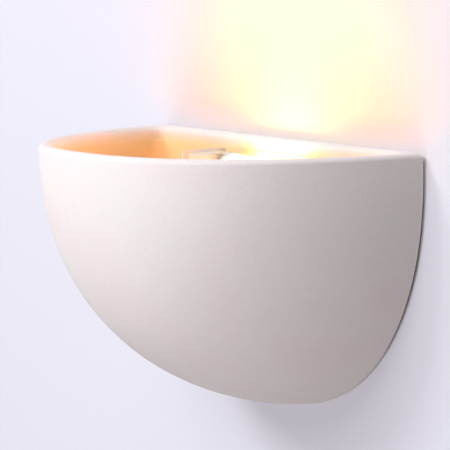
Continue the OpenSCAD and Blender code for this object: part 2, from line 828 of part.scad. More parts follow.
module lamp_chips() {
  pitch = 2 * cap_mouth / chip_count;
  color("#f6d98a")
    for (i = [0 : chip_count - 1])
      translate([(i - (chip_count - 1) / 2) * pitch, lamp_y, lamp_z + (board_t + chip_h) / 2])
        cube([chip_w, chip_w, chip_h], center = true);
}

// Terminal block ---------------------------------------------------------------------

module terminal_block() {
  color("#f3f1ea")
    difference() {
      union() {
        translate([block_x - block_w / 2, block_front_y, block_z - block_h / 2])
          cube([block_w, block_d, block_h]);
        for (x = pole_x, z = [-1, 1])
          out_of_wall(x, block_front_y, block_z + z * clamp_screw_z) cylinder(d = tower_d, h = tower_h);
      }
      for (x = pole_x) {
        translate([x, pole_y, block_z - block_h / 2 - over])
          cylinder(d = clamp_bore_d + entry_play, h = block_h + 2 * over);
        translate([x, pole_y, block_z - clamp_h / 2 - snug_fit])
          cylinder(d = clamp_d + 2 * running_fit, h = clamp_h + 2 * snug_fit);
        for (z = [-1, 1])
          out_of_wall(x, pole_y, block_z + z * clamp_screw_z)
            cylinder(d = clamp_screw_d + screw_way_play, h = pole_y - block_front_y + tower_h + over);
      }
      out_of_wall(block_screw_x, 0, block_z) cylinder(d = block_screw_d + 2 * fit, h = projection / 2);
      out_of_wall(block_screw_x, block_front_y, block_z)
        cylinder(d = block_screw_d * pan_head_ratio + 2 * fit, h = tower_h + over);
    }
}

module terminal_clamps() {
  color("#c9a85a")
    for (x = pole_x) difference() {
      translate([x, pole_y, block_z - clamp_h / 2]) cylinder(d = clamp_d, h = clamp_h);
      for (z = [0, 1]) translate([x, pole_y, block_z]) mirror([0, 0, z])
        translate([0, 0, clamp_web / 2]) cylinder(d = clamp_bore_d, h = clamp_depth + over);
      for (z = [-1, 1]) out_of_wall(x, pole_y, block_z + z * clamp_screw_z)
        cylinder(d = clamp_screw_d + 2 * running_fit, h = clamp_d);
    }
}

module terminal_screws() {
  color("#c7c9ca")
    for (x = pole_x, z = [-1, 1])
      let (tip = (z > 0 ? ferrule_d : clamp_bore_d) / 2 + running_fit)
        out_of_wall(x, pole_y - tip, block_z + z * clamp_screw_z) difference() {
          cylinder(d = clamp_screw_d, h = clamp_screw_l);
          translate([-clamp_screw_d, -driver_slot_w / 2, clamp_screw_l - driver_slot_depth])
            cube([2 * clamp_screw_d, driver_slot_w, driver_slot_depth + over]);
        }
}

module terminal_fixing_screw() {
  color("#c7c9ca")
    out_of_wall(block_screw_x, block_front_y, block_z)
      pan_screw(block_screw_d, block_d + sheet_t + block_screw_end);
}

// Wires: their ends follow the holders, the block and the tag, and their turns, laid by eye, are given in
// wire diameters and in shares of the height between the block and the shelf -------------------------------

wire_y = pole_y;
function level(share) = block_top + share * (shelf_bottom - block_top);

module live_wire() {
  color("#7a4a2b") wire([
    [-wire_x, lamp_y, tab_bottom],
    [-wire_x, lamp_y, shelf_bottom],
    [-wire_x, lamp_y, level(0.9)],
    [-wire_x + 1.8 * wire_d, lamp_y + 0.2 * wire_d, level(0.76)],
    [-0.4 * wire_x, lamp_y + wire_d, level(0.82)],
    [pole_x[1] - 4.3 * wire_d, wire_y - 0.4 * wire_d, level(0.8)],
    [pole_x[1] - 1.1 * wire_d, wire_y, level(0.56)],
    [pole_x[1], wire_y, level(0.23)],
    [pole_x[1], wire_y, level(0.04)],
    [pole_x[1], wire_y, wire_end_z]
  ], wire_d);
}

module neutral_wire() {
  color("#3f6f9f") wire([
    [wire_x, lamp_y, tab_bottom],
    [wire_x, lamp_y, shelf_bottom],
    [wire_x, lamp_y, level(0.9)],
    [wire_x - 1.4 * wire_d, lamp_y + 0.4 * wire_d, level(0.7)],
    [pole_x[2] + 1.4 * wire_d, wire_y - 0.4 * wire_d, level(0.53)],
    [pole_x[2], wire_y, level(0.23)],
    [pole_x[2], wire_y, level(0.04)],
    [pole_x[2], wire_y, wire_end_z]
  ], wire_d);
}

module earth_wire() {
  barrel_end = barrel_x + barrel_l;
  color("#7f9f3a") wire([
    [pole_x[0], wire_y, wire_end_z],
    [pole_x[0], wire_y, level(0.04)],
    [pole_x[0], wire_y, level(0.2)],
    [pole_x[0] - 1.8 * wire_d, wire_y, level(0.46)],
    [0, wire_y, level(0.53)],
    [barrel_end + 1.8 * wire_d, barrel_y - 0.3 * wire_d, level(0.23)],
    [barrel_end + 0.8 * wire_d, barrel_y, 0.1 * wire_d],
    [barrel_end + 0.15 * wire_d, barrel_y, 0],
    [barrel_end - barrel_bore, barrel_y, 0]
  ], wire_d);
}

module wire_ferrules() {
  color("#d2d4d6")
    for (x = pole_x) translate([x, wire_y, wire_end_z - ferrule_l])
      cylinder(d = ferrule_d, h = ferrule_l);
}

module earth_tag() {
  color("#d2d4d6")
    difference() {
      union() {
        out_of_wall(earth_x, plate_front_y, 0) cylinder(d = tag_ring_d, h = tag_t);
        translate([earth_x, plate_front_y - tag_t, -tag_neck_w / 2])
          cube([barrel_x - earth_x + barrel_gap, tag_t, tag_neck_w]);
        translate([barrel_x, barrel_y, 0]) rotate([0, 90, 0]) cylinder(d = barrel_d, h = barrel_l);
      }
      out_of_wall(earth_x, 0, 0) cylinder(d = earth_screw_d + 2 * snug_fit, h = projection / 2);
      translate([barrel_x + barrel_l - barrel_bore, barrel_y, 0]) rotate([0, 90, 0])
        cylinder(d = wire_d + 2 * running_fit, h = barrel_l);
    }
}

module earth_screw() {
  color("#c9a85a")
    out_of_wall(earth_x, plate_front_y - tag_t, 0)
      pan_screw(earth_screw_d, tag_t + sheet_t + earth_screw_end);
}

shade();
wall_seal();
wall_strap();
strap_studs();
cable_grommet();
lamp_carrier();
carrier_bush();
fibre_washers();
cap_nuts();
reflector();
reflector_rivets();
fixed_lampholder();
sprung_lampholder();
holder_screws();
holder_nuts();
fixed_contact();
sprung_contact();
contact_spring();
contact_strips();
lamp_tube();
lamp_end_caps();
lamp_contacts();
lamp_board();
lamp_chips();
terminal_block();
terminal_clamps();
terminal_screws();
terminal_fixing_screw();
live_wire();
neutral_wire();
earth_wire();
wire_ferrules();
earth_tag();
earth_screw();
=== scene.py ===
"""Looks of a wall uplighter: a white bisque bowl on a steel strap, and the lighted lamp that it hides."""

import json
import math

import bmesh
import bpy
from mathutils import Matrix, Vector, noise


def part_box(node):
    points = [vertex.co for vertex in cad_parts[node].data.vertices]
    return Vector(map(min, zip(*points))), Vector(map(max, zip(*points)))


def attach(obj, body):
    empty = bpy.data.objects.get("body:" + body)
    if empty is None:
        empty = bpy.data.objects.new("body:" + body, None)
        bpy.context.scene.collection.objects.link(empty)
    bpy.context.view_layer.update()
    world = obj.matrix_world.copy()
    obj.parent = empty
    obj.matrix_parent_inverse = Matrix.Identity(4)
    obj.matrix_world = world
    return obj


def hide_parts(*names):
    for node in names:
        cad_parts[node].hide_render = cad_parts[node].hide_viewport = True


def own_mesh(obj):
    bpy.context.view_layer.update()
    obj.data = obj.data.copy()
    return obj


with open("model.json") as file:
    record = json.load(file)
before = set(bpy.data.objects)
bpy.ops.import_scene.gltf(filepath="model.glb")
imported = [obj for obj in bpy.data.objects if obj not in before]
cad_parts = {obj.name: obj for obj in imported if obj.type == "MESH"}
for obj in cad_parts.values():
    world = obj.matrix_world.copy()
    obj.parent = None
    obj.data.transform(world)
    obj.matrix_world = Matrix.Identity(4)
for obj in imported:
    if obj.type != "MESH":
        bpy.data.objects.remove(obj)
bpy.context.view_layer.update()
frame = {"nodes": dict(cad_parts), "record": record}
bpy.context.scene.view_settings.view_transform = "Standard"

MM = 0.001

# Sizes of the shade, as its solid has them. The rest comes from the solid's box.
PLAN_X_POW = 2.45
PLAN_Y_POW = 1.93
PLAN_MEAN_POW = (PLAN_X_POW + PLAN_Y_POW) / 2
SIDE_Z_POW = 2.24
SIDE_R_POW = 2.0
WALL = 7 * MM
FLOOR = 9 * MM
BACK = 7 * MM
RIM_EDGE = 3 * MM
BAND_H = 7 * MM
BAND_STEP = 0.5 * MM
INNER_CORNER = 9 * MM
BACK_EDGE = 1.5 * MM
WINDOW = (84 * MM, 28 * MM)
WINDOW_R = 5 * MM
POCKET_GAP = 0.3 * MM
POCKET_R = 3 * MM
STUD_X = 49 * MM
STUD_HOLE_R = 2.6 * MM

shade_low, shade_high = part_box("shade")
HALF_W = shade_high.x
RIM_Z = shade_high.z
SHADE_H = shade_high.z - shade_low.z
BACK_Y = shade_high.y
PROJECTION = BACK_Y - shade_low.y

# The sponge's work on the bowl: the mean depth that it takes, and its long and short waves.
SPONGE_DEPTH = 0.12 * MM
SPONGE_LONG_MM = 45
SPONGE_SHORT_MM = 14
SPONGE_SHORT_SHARE = 0.35
# The bowl is left flat for so far off the wall, and is fully sponged so much further out.
SPONGE_START = 2 * MM
SPONGE_FADE = 10 * MM

# How far a cutter reaches past what it cuts, and the distance under which the points of a mesh are one.
CUT_OVER = 5 * MM
SKIN_WELD = 0.004 * MM
SOLID_WELD = 0.003 * MM

# The lamp: how strongly its tube glows, and how far apart its chips lie.
LAMP_STRENGTH = 28.0
CHIP_PITCH = 4.8 * MM

# Painted lamp light: a cream tint on the bisque inside, standing in for the lamp's warm light in the bowl.
# The cream of the bisque inside, guessed as the work of the lamp's heat. It starts at one depth below the rim
# and is full at the other, and likewise off the back.
PAINTED_LAMP_LIGHT = "#ffe8b4"
PAINTED_LAMP_LIGHT_BELOW = (2.5 * MM, 7.5 * MM)
PAINTED_LAMP_LIGHT_OFF_BACK = (3 * MM, 5 * MM)


# Helpers ------------------------------------------------------------------------------------------

def colour(code):
    """A colour written as sRGB hex, in the linear values that shaders take."""
    parts = [int(code[i:i + 2], 16) / 255 for i in (1, 3, 5)]
    return tuple(p / 12.92 if p <= 0.04045 else ((p + 0.055) / 1.055) ** 2.4 for p in parts) + (1.0,)


def per(size_mm):
    """The scale at which a texture repeats once in so many millimetres."""
    return 1 / (size_mm * MM)


def add(tree, kind, inputs=(), stops=(), **settings):
    """Adds a node with its settings, the values or links of its inputs, and the stops of a ramp."""
    made = tree.nodes.new("ShaderNode" + kind)
    for name, value in settings.items():
        setattr(made, name, value)
    for name, value in dict(inputs).items():
        if isinstance(value, bpy.types.NodeSocket):
            tree.links.new(value, made.inputs[name])
        else:
            made.inputs[name].default_value = value
    for i, (place, code) in enumerate(stops):
        ramp = made.color_ramp.elements
        stop = ramp[i] if i < len(ramp) else ramp.new(place)
        stop.position = place
        stop.color = colour(code)
    return made


def start_material(name, **values):
    """A material, its tree, its shader with the given constants, and Object coordinates."""
    material = bpy.data.materials.new(name)
    material.use_nodes = True
    tree = material.node_tree
    shader = tree.nodes["Principled BSDF"]
    for socket, value in values.items():
        shader.inputs[socket.replace("_", " ")].default_value = value
    return material, tree, shader, add(tree, "TexCoord").outputs["Object"]


def mesh_of(bm):
    mesh = bpy.data.meshes.new("mesh")
    bm.to_mesh(mesh)
    bm.free()
    return mesh


def new_object(name, mesh):
    obj = bpy.data.objects.new(name, mesh)
    bpy.context.scene.collection.objects.link(obj)
    return obj


def apply_modifiers(obj):
    bpy.context.view_layer.update()
    seen = obj.evaluated_get(bpy.context.evaluated_depsgraph_get())
    mesh = bpy.data.meshes.new_from_object(seen)
    obj.modifiers.clear()
    obj.data = mesh


def cut(obj, cutter_mesh):
    """Takes the space of a closed mesh out of obj."""
    cutter = new_object("cutter", cutter_mesh)
    tool = obj.modifiers.new("cut", "BOOLEAN")
    tool.operation = "DIFFERENCE"
    tool.solver = "EXACT"
    tool.object = cutter
    apply_modifiers(obj)
    bpy.data.objects.remove(cutter)


def plate_mesh(width, height, radius, near, far):
    """A closed plate across Y, centred on it, with the four edges that run along Y rounded."""
    bm = bmesh.new()
    bmesh.ops.create_cube(bm, size=1)
    bmesh.ops.scale(bm, vec=(width, far - near, height), verts=bm.verts)
    bmesh.ops.translate(bm, vec=(0, (near + far) / 2, 0), verts=bm.verts)
    along_y = [e for e in bm.edges if abs(e.verts[0].co.y - e.verts[1].co.y) > 0.1 * (far - near)]
    bmesh.ops.bevel(bm, geom=along_y, offset=radius, segments=8, profile=0.5, affect="EDGES", material=-1)
    return mesh_of(bm)


def rod_mesh(radius, near, far, x):
    """A closed rod along Y."""
    bm = bmesh.new()
    bmesh.ops.create_cone(bm, cap_ends=True, segments=48, radius1=radius, radius2=radius, depth=far - near)
    bmesh.ops.rotate(bm, matrix=Matrix.Rotation(math.pi / 2, 3, "X"), verts=bm.verts)
    bmesh.ops.translate(bm, vec=(x, (near + far) / 2, 0), verts=bm.verts)
    return mesh_of(bm)


def smooth_shading(obj, sharp_angle):
    """Smooth faces, but sharp where they meet at more than the given degrees."""
    obj.data.shade_smooth()
    obj.data.set_sharp_from_angle(angle=math.radians(sharp_angle))
    tool = obj.modifiers.new("even", "WEIGHTED_NORMAL")
    tool.keep_sharp = True
    apply_modifiers(obj)


def put(obj, material, slot, body, *nodes):
    """Finishes a piece: its material, the body that it rides on and the nodes that it replaces. The slot is
    not used.
    """
    obj.data.materials.clear()
    obj.data.materials.append(material)
    for face in obj.data.polygons:
        face.material_index = 0
    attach(obj, body)
    if nodes:
        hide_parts(*nodes)
    return obj


def body_of(node):
    bodies = frame["record"]["behaviour"]["bodies"]
    return next(body for body, members in bodies.items() if node in members)


def softened(node, piece, material, slot, edge_mm, sharp_angle=30, segments=2):
    """A copy of a solid with its sharp edges broken, as a pressed, moulded or turned piece has them."""
    bm = bmesh.new()
    bm.from_mesh(frame["nodes"][node].data)
    bmesh.ops.remove_doubles(bm, verts=bm.verts, dist=SOLID_WELD)
    bmesh.ops.dissolve_limit(bm, angle_limit=math.radians(0.6), verts=bm.verts, edges=bm.edges)
    sharp = [e for e in bm.edges if len(e.link_faces) == 2
             and e.calc_face_angle() > math.radians(sharp_angle)]
    bmesh.ops.bevel(bm, geom=sharp, offset=edge_mm * MM, segments=segments, profile=0.5,
                    affect="EDGES", clamp_overlap=True, material=-1)
    obj = new_object(piece, mesh_of(bm))
    smooth_shading(obj, 40)
    return put(obj, material, slot, body_of(node), node)


# Materials ----------------------------------------------------------------------------------------

def bisque():
    """White earthenware, slip-cast, sponged smooth and fired once without glaze: dead matt and chalky, with a
    faint pink and yellow cast in soft patches, a sponge's fine drag and a few pin-holes. Light sinks a little
    way into it. Inside, the lamp's warm light is painted on as a cream tint."""
    material, tree, shader, place = start_material("white_bisque", Roughness=0.85, IOR=1.45,
                                                   Specular_IOR_Level=0.25, Subsurface_Weight=0.15,
                                                   Subsurface_Radius=(1.2 * MM, 0.9 * MM, 0.7 * MM),
                                                   Subsurface_Scale=1.0)
    patches = add(tree, "TexNoise", {"Vector": place, "Scale": per(42), "Detail": 2.0, "Roughness": 0.5})
    tint = add(tree, "ValToRGB", {"Fac": patches.outputs["Fac"]},
               stops=[(0.36, "#fbf2f2"), (0.52, "#fbf5f4"), (0.66, "#f8f5f2")])
    grit = add(tree, "TexNoise", {"Vector": place, "Scale": per(0.8), "Detail": 3.0, "Roughness": 0.6})
    speck = add(tree, "ValToRGB", {"Fac": grit.outputs["Fac"]}, stops=[(0.3, "#faf8f7"), (0.6, "#ffffff")])
    body = add(tree, "Mix", {0: 1.0, 6: tint.outputs["Color"], 7: speck.outputs["Color"]},
               data_type="RGBA", blend_type="MULTIPLY")
    # Painted lamp light: the inside is tinted cream where the lamp's warm light falls.
    lamp_lit_inside = add(tree, "Mix", {0: painted_lamp_light_mask(tree, place), 6: body.outputs[2], 7: colour(PAINTED_LAMP_LIGHT)},
                 data_type="RGBA", blend_type="MULTIPLY")
    tree.links.new(lamp_lit_inside.outputs[2], shader.inputs["Base Color"])
    drag = add(tree, "TexNoise", {"Vector": place, "Scale": per(12), "Detail": 3.0, "Roughness": 0.5})
    swell = add(tree, "Bump", {"Height": drag.outputs["Fac"], "Distance": 0.06 * MM, "Strength": 0.5})
    sand = add(tree, "Bump", {"Height": grit.outputs["Fac"], "Distance": 0.012 * MM, "Strength": 0.5,
                              "Normal": swell.outputs["Normal"]})
    cells = add(tree, "TexVoronoi", {"Vector": place, "Scale": per(14), "Randomness": 1.0})
    pits = add(tree, "ValToRGB", {"Fac": cells.outputs["Distance"]},
               stops=[(0.012, "#000000"), (0.024, "#ffffff")])
    holes = add(tree, "Bump", {"Height": pits.outputs["Color"], "Distance": 0.1 * MM, "Strength": 0.6,
                               "Normal": sand.outputs["Normal"]})
    tree.links.new(holes.outputs["Normal"], shader.inputs["Normal"])
    return material


def painted_lamp_light_mask(tree, place):
    """Where the lamp's light is painted on: 1 on the bowl's inner face and 0 on its outer one, from a surface
    halfway through the wall, fading in below the rim and off the back.
    """
    parts = add(tree, "SeparateXYZ", {"Vector": place})
    depth = add(tree, "Math", {0: RIM_Z, 1: parts.outputs["Z"]}, operation="SUBTRACT")
    deep = add(tree, "Math", {0: depth.outputs[0], 1: SHADE_H - FLOOR / 2}, operation="DIVIDE")
    terms = [add(tree, "Math", {0: deep.outputs[0], 1: SIDE_Z_POW}, operation="POWER").outputs[0]]
    for axis, middle, half, power in (("X", 0, HALF_W - WALL / 2, PLAN_X_POW),
                                      ("Y", BACK_Y, PROJECTION - WALL / 2, PLAN_Y_POW)):
        off = add(tree, "Math", {0: parts.outputs[axis], 1: middle}, operation="SUBTRACT")
        share = add(tree, "Math", {0: off.outputs[0], 1: half}, operation="DIVIDE")
        size = add(tree, "Math", {0: share.outputs[0]}, operation="ABSOLUTE")
        terms.append(add(tree, "Math", {0: size.outputs[0], 1: power}, operation="POWER").outputs[0])
    level = add(tree, "Math", {0: terms[1], 1: terms[2]}, operation="ADD")
    widened = add(tree, "Math", {0: level.outputs[0], 1: SIDE_R_POW / PLAN_MEAN_POW}, operation="POWER")
    total = add(tree, "Math", {0: terms[0], 1: widened.outputs[0]}, operation="ADD")
    within = add(tree, "MapRange", {"Value": total.outputs[0], "From Min": 1.0, "From Max": 0.97})
    below = add(tree, "MapRange", {"Value": depth.outputs[0], "From Min": PAINTED_LAMP_LIGHT_BELOW[0],
                                   "From Max": PAINTED_LAMP_LIGHT_BELOW[1]})
    off_back = add(tree, "MapRange", {"Value": parts.outputs["Y"], "From Min": BACK_Y - PAINTED_LAMP_LIGHT_OFF_BACK[0],
                                      "From Max": BACK_Y - PAINTED_LAMP_LIGHT_OFF_BACK[1]})
    both = add(tree, "Math", {0: within.outputs["Result"], 1: below.outputs["Result"]}, operation="MULTIPLY")
    return add(tree, "Math", {0: both.outputs[0], 1: off_back.outputs["Result"]},
               operation="MULTIPLY").outputs[0]


def cell_foam():
    """Closed-cell rubber foam, cut from sheet and pressed: dusty grey-brown, with painted shade in the cells
    that the knife has opened."""
    material, tree, shader, place = start_material("cell_foam", Roughness=0.9, Specular_IOR_Level=0.25)
    cells = add(tree, "TexVoronoi", {"Vector": place, "Scale": per(0.7)})
    # Painted shade: darker at the bottom of each opened cell, where the bump sinks.
    tone = add(tree, "ValToRGB", {"Fac": cells.outputs["Distance"]},
               stops=[(0.1, "#4e4a46"), (0.7, "#7b766f")])
    tree.links.new(tone.outputs["Color"], shader.inputs["Base Color"])
    relief = add(tree, "Bump", {"Height": cells.outputs["Distance"], "Distance": 0.2 * MM, "Strength": 0.7})
    tree.links.new(relief.outputs["Normal"], shader.inputs["Normal"])
    return material


def plated_metal(name, dark, light, rough, blotch_mm, scratch_mm):
    """Pressed or turned metal with a plated coat: even, with cloudy tone and fine handling marks."""
    material, tree, shader, place = start_material(name, Metallic=1.0)
    clouds = add(tree, "TexNoise", {"Vector": place, "Scale": per(blotch_mm), "Detail": 4.0,
                                    "Roughness": 0.6})
    tone = add(tree, "ValToRGB", {"Fac": clouds.outputs["Fac"]}, stops=[(0.35, dark), (0.65, light)])
    tree.links.new(tone.outputs["Color"], shader.inputs["Base Color"])
    drawn = add(tree, "Mapping", {"Vector": place, "Scale": (0.15, 1.0, 1.0)})
    marks = add(tree, "TexNoise", {"Vector": drawn.outputs["Vector"], "Scale": per(scratch_mm),
                                   "Detail": 3.0})
    gloss = add(tree, "MapRange", {"Value": marks.outputs["Fac"], "To Min": rough - 0.08,
                                   "To Max": rough + 0.1})
    tree.links.new(gloss.outputs["Result"], shader.inputs["Roughness"])
    relief = add(tree, "Bump", {"Height": marks.outputs["Fac"], "Distance": 0.01 * MM, "Strength": 0.5})
    tree.links.new(relief.outputs["Normal"], shader.inputs["Normal"])
    return material


def zinc_plate():
    """Bright zinc on steel with a blue passivation: cool grey, going yellowish in patches."""
    return plated_metal("zinc_plated_steel", "#b3b9bc", "#c4c5c0", 0.36, 9, 0.6)


def nickel_plate():
    """Bright nickel over brass or copper: warm silver, smooth from the barrel."""
    return plated_metal("nickel_plate", "#c9c4b8", "#ddd9d0", 0.2, 6, 0.5)


def plain_brass():
    """Free-cutting brass straight from the lathe, a little dulled by air."""
    return plated_metal("turned_brass", "#b98a3c", "#dcb668", 0.3, 4, 0.35)


def spring_steel():
    """Stainless spring wire: dark grey silver with the drawing die's fine lines."""
    return plated_metal("spring_wire", "#8d8f92", "#b4b5b6", 0.28, 3, 0.25)


def bright_aluminium():
    """Brightened lighting sheet: near a mirror, with the mill's faint lines along the roll."""
    material, tree, shader, place = start_material("bright_aluminium", Metallic=1.0)
    shader.inputs["Base Color"].default_value = colour("#e9ebec")
    rolled = add(tree, "Mapping", {"Vector": place, "Scale": (0.03, 1.0, 1.0)})
    lines = add(tree, "TexNoise", {"Vector": rolled.outputs["Vector"], "Scale": per(0.35), "Detail": 2.0})
    gloss = add(tree, "MapRange", {"Value": lines.outputs["Fac"], "To Min": 0.12, "To Max": 0.3})
    tree.links.new(gloss.outputs["Result"], shader.inputs["Roughness"])
    relief = add(tree, "Bump", {"Height": lines.outputs["Fac"], "Distance": 0.006 * MM, "Strength": 0.6})
    tree.links.new(relief.outputs["Normal"], shader.inputs["Normal"])
    return material


def powder_coat():
    """White baked powder on steel sheet: half-gloss with a fine orange-peel."""
    material, tree, shader, place = start_material("white_powder_coat", Roughness=0.42, IOR=1.5)
    clouds = add(tree, "TexNoise", {"Vector": place, "Scale": per(30), "Detail": 2.0})
    tone = add(tree, "ValToRGB", {"Fac": clouds.outputs["Fac"]}, stops=[(0.3, "#f1efe9"), (0.7, "#f7f5f0")])
    tree.links.new(tone.outputs["Color"], shader.inputs["Base Color"])
    peel = add(tree, "TexNoise", {"Vector": place, "Scale": per(1.3), "Detail": 1.0})
    relief = add(tree, "Bump", {"Height": peel.outputs["Fac"], "Distance": 0.04 * MM, "Strength": 0.6})
    tree.links.new(relief.outputs["Normal"], shader.inputs["Normal"])
    return material


def moulded_plastic(name, dark, light, rough, translucency=0.0):
    """An injection moulding with a spark-eroded surface: fine grain, tone a little uneven."""
    material, tree, shader, place = start_material(name, Roughness=rough, IOR=1.53,
                                                   Subsurface_Weight=translucency,
                                                   Subsurface_Radius=(0.9 * MM, 0.8 * MM, 0.6 * MM))
    clouds = add(tree, "TexNoise", {"Vector": place, "Scale": per(7), "Detail": 3.0})
    tone = add(tree, "ValToRGB", {"Fac": clouds.outputs["Fac"]}, stops=[(0.3, dark), (0.7, light)])
    tree.links.new(tone.outputs["Color"], shader.inputs["Base Color"])
    grain = add(tree, "TexNoise", {"Vector": place, "Scale": per(0.25), "Detail": 2.0})
    relief = add(tree, "Bump", {"Height": grain.outputs["Fac"], "Distance": 0.02 * MM, "Strength": 0.5})
    tree.links.new(relief.outputs["Normal"], shader.inputs["Normal"])
    return material


def nylon():
    """Natural polyamide: milky, slightly see-through at thin edges."""
    return moulded_plastic("natural_nylon", "#e4dfcf", "#efebdf", 0.4, 0.3)


def cap_moulding():
    """White heat-resistant polyester, semi-matt."""
    return moulded_plastic("white_cap_moulding", "#e8e6de", "#f3f1eb", 0.35)


def moulded_rubber():
    """Black rubber from a steel mould, with a dull bloom."""
    return moulded_plastic("black_rubber", "#1c1c1d", "#2e2d2d", 0.62)


def vulcanised_fibre():
    """Red vulcanised fibre, punched: dense layered paper with a dry face."""
    material, tree, shader, place = start_material("red_fibre", Roughness=0.7)
    paper = add(tree, "TexNoise", {"Vector": place, "Scale": per(0.8), "Detail": 5.0, "Distortion": 0.6})
    tone = add(tree, "ValToRGB", {"Fac": paper.outputs["Fac"]}, stops=[(0.3, "#7a2f20"), (0.7, "#a04a34")])
    tree.links.new(tone.outputs["Color"], shader.inputs["Base Color"])
    relief = add(tree, "Bump", {"Height": paper.outputs["Fac"], "Distance": 0.03 * MM, "Strength": 0.5})
    tree.links.new(relief.outputs["Normal"], shader.inputs["Normal"])
    return material


def steatite():
    """Dry-pressed steatite: ivory, unglazed, with the press's fine grain and tiny dark specks."""
    material, tree, shader, place = start_material("pressed_steatite", Roughness=0.55, IOR=1.55)
    grains = add(tree, "TexVoronoi", {"Vector": place, "Scale": per(0.9)})
    specks = add(tree, "ValToRGB", {"Fac": grains.outputs["Distance"]},
                 stops=[(0.03, "#b9ab92"), (0.09, "#ece5d4"), (0.6, "#f1ebdc")])
    tree.links.new(specks.outputs["Color"], shader.inputs["Base Color"])
    press = add(tree, "TexNoise", {"Vector": place, "Scale": per(0.5), "Detail": 3.0})
    relief = add(tree, "Bump", {"Height": press.outputs["Fac"], "Distance": 0.03 * MM, "Strength": 0.6})
    tree.links.new(relief.outputs["Normal"], shader.inputs["Normal"])
    return material


def opal_glass():
    """Opal tube, lighted from inside: warm, with a faint beat along it at the spacing of the chips."""
    material, tree, shader, place = start_material("opal_tube", Roughness=0.25, IOR=1.5,
                                                   Emission_Strength=LAMP_STRENGTH)
    shader.inputs["Base Color"].default_value = colour("#fff4e2")
    along = add(tree, "SeparateXYZ", {"Vector": place})
    beat = add(tree, "Math", {0: along.outputs["X"], 1: 2 * math.pi / CHIP_PITCH}, operation="MULTIPLY")
    wave = add(tree, "Math", {0: beat.outputs[0]}, operation="COSINE")
    glow = add(tree, "MapRange", {"Value": wave.outputs[0], "From Min": -1.0, "From Max": 1.0})
    warm = add(tree, "ValToRGB", {"Fac": glow.outputs["Result"]}, stops=[(0.0, "#ffae62"), (1.0, "#ffb46c")])
    tree.links.new(warm.outputs["Color"], shader.inputs["Emission Color"])
    return material


def solder_mask():
    """White solder mask on aluminium board: smooth, half-gloss."""
    material, tree, shader, place = start_material("white_solder_mask", Roughness=0.3)
    clouds = add(tree, "TexNoise", {"Vector": place, "Scale": per(5), "Detail": 2.0})
    tone = add(tree, "ValToRGB", {"Fac": clouds.outputs["Fac"]}, stops=[(0.3, "#eef1ee"), (0.7, "#f6f8f6")])
    tree.links.new(tone.outputs["Color"], shader.inputs["Base Color"])
    return material


def phosphor():
    """Phosphor in silicone gel over the chips: egg yellow, wet and lighted."""
    material, tree, shader, place = start_material("phosphor_gel", Roughness=0.18, IOR=1.41,
                                                   Emission_Strength=2.0)
    grains = add(tree, "TexNoise", {"Vector": place, "Scale": per(0.3), "Detail": 2.0})
    tone = add(tree, "ValToRGB", {"Fac": grains.outputs["Fac"]}, stops=[(0.3, "#e8b23a"), (0.7, "#f4cb62")])
    tree.links.new(tone.outputs["Color"], shader.inputs["Base Color"])
    tree.links.new(tone.outputs["Color"], shader.inputs["Emission Color"])
    return material


def silicone_sleeve(name, dark, light, second=None):
    """Extruded silicone sleeving: satin, a little dusty. The earth wire's has a second colour on one side."""
    material, tree, shader, place = start_material(name, Roughness=0.48, IOR=1.43)
    dust = add(tree, "TexNoise", {"Vector": place, "Scale": per(2.2), "Detail": 4.0})
    tone = add(tree, "ValToRGB", {"Fac": dust.outputs["Fac"]}, stops=[(0.3, dark), (0.7, light)])
    result = tone.outputs["Color"]
    if second:
        side = add(tree, "VectorMath", {0: add(tree, "TexCoord").outputs["Normal"], 1: (0.5, -0.2, 0.8)},
                   operation="DOT_PRODUCT")
        mask = add(tree, "MapRange", {"Value": side.outputs["Value"], "From Min": -0.02, "From Max": 0.02})
        striped = add(tree, "Mix", {0: mask.outputs["Result"], 6: result, 7: colour(second)},
                      data_type="RGBA")
        result = striped.outputs[2]
    tree.links.new(result, shader.inputs["Base Color"])
    return material


# The shade ----------------------------------------------------------------------------------------

# Columns round one loop of the bowl, and rows from the lowest point outside over the rim to the one inside.
CORNER_COLUMNS = 8
FRONT_COLUMNS = 184
BACK_COLUMNS = 40
OUTER_ROWS = 64
EDGE_ROWS = 8
INNER_ROWS = 52


def plan_point(turn, half_w, out):
    """A point of the level outline, a superellipse, at a turn from the right over the front."""
    c, s = math.cos(turn), math.sin(turn)
    return Vector((math.copysign(half_w * abs(c) ** (2 / PLAN_X_POW), c),
                   BACK_Y - out * abs(s) ** (2 / PLAN_Y_POW)))


def loop_point(column, half_w, out, back_out, corner_r):
    """A column's point on a D-shaped loop with rounded back corners."""
    kind, share = column
    radius = min(corner_r, 0.4 * max(out - back_out, 0))
    turns = [math.asin(min(max(distance / out, 0), 1) ** (PLAN_Y_POW / 2)) if out else 0
             for distance in (back_out, back_out + radius)]
    corner = plan_point(turns[0], half_w, out)
    leave = plan_point(turns[1], half_w, out)
    start = Vector((max(corner.x - radius, 0.4 * corner.x), corner.y))
    if kind == "front":
        return plan_point(turns[1] + (math.pi - 2 * turns[1]) * share, half_w, out)
    if kind == "back":
        return Vector(((2 * share - 1) * start.x, start.y))
    bent = start.lerp(corner, share).lerp(corner.lerp(leave, share), share)
    return Vector((bent.x if kind == "right" else -bent.x, bent.y))


def left_at(depth, height):
    """Share of the plan that is left at a depth below the rim."""
    return max(1 - (depth / height) ** SIDE_Z_POW, 0) ** (1 / SIDE_R_POW)


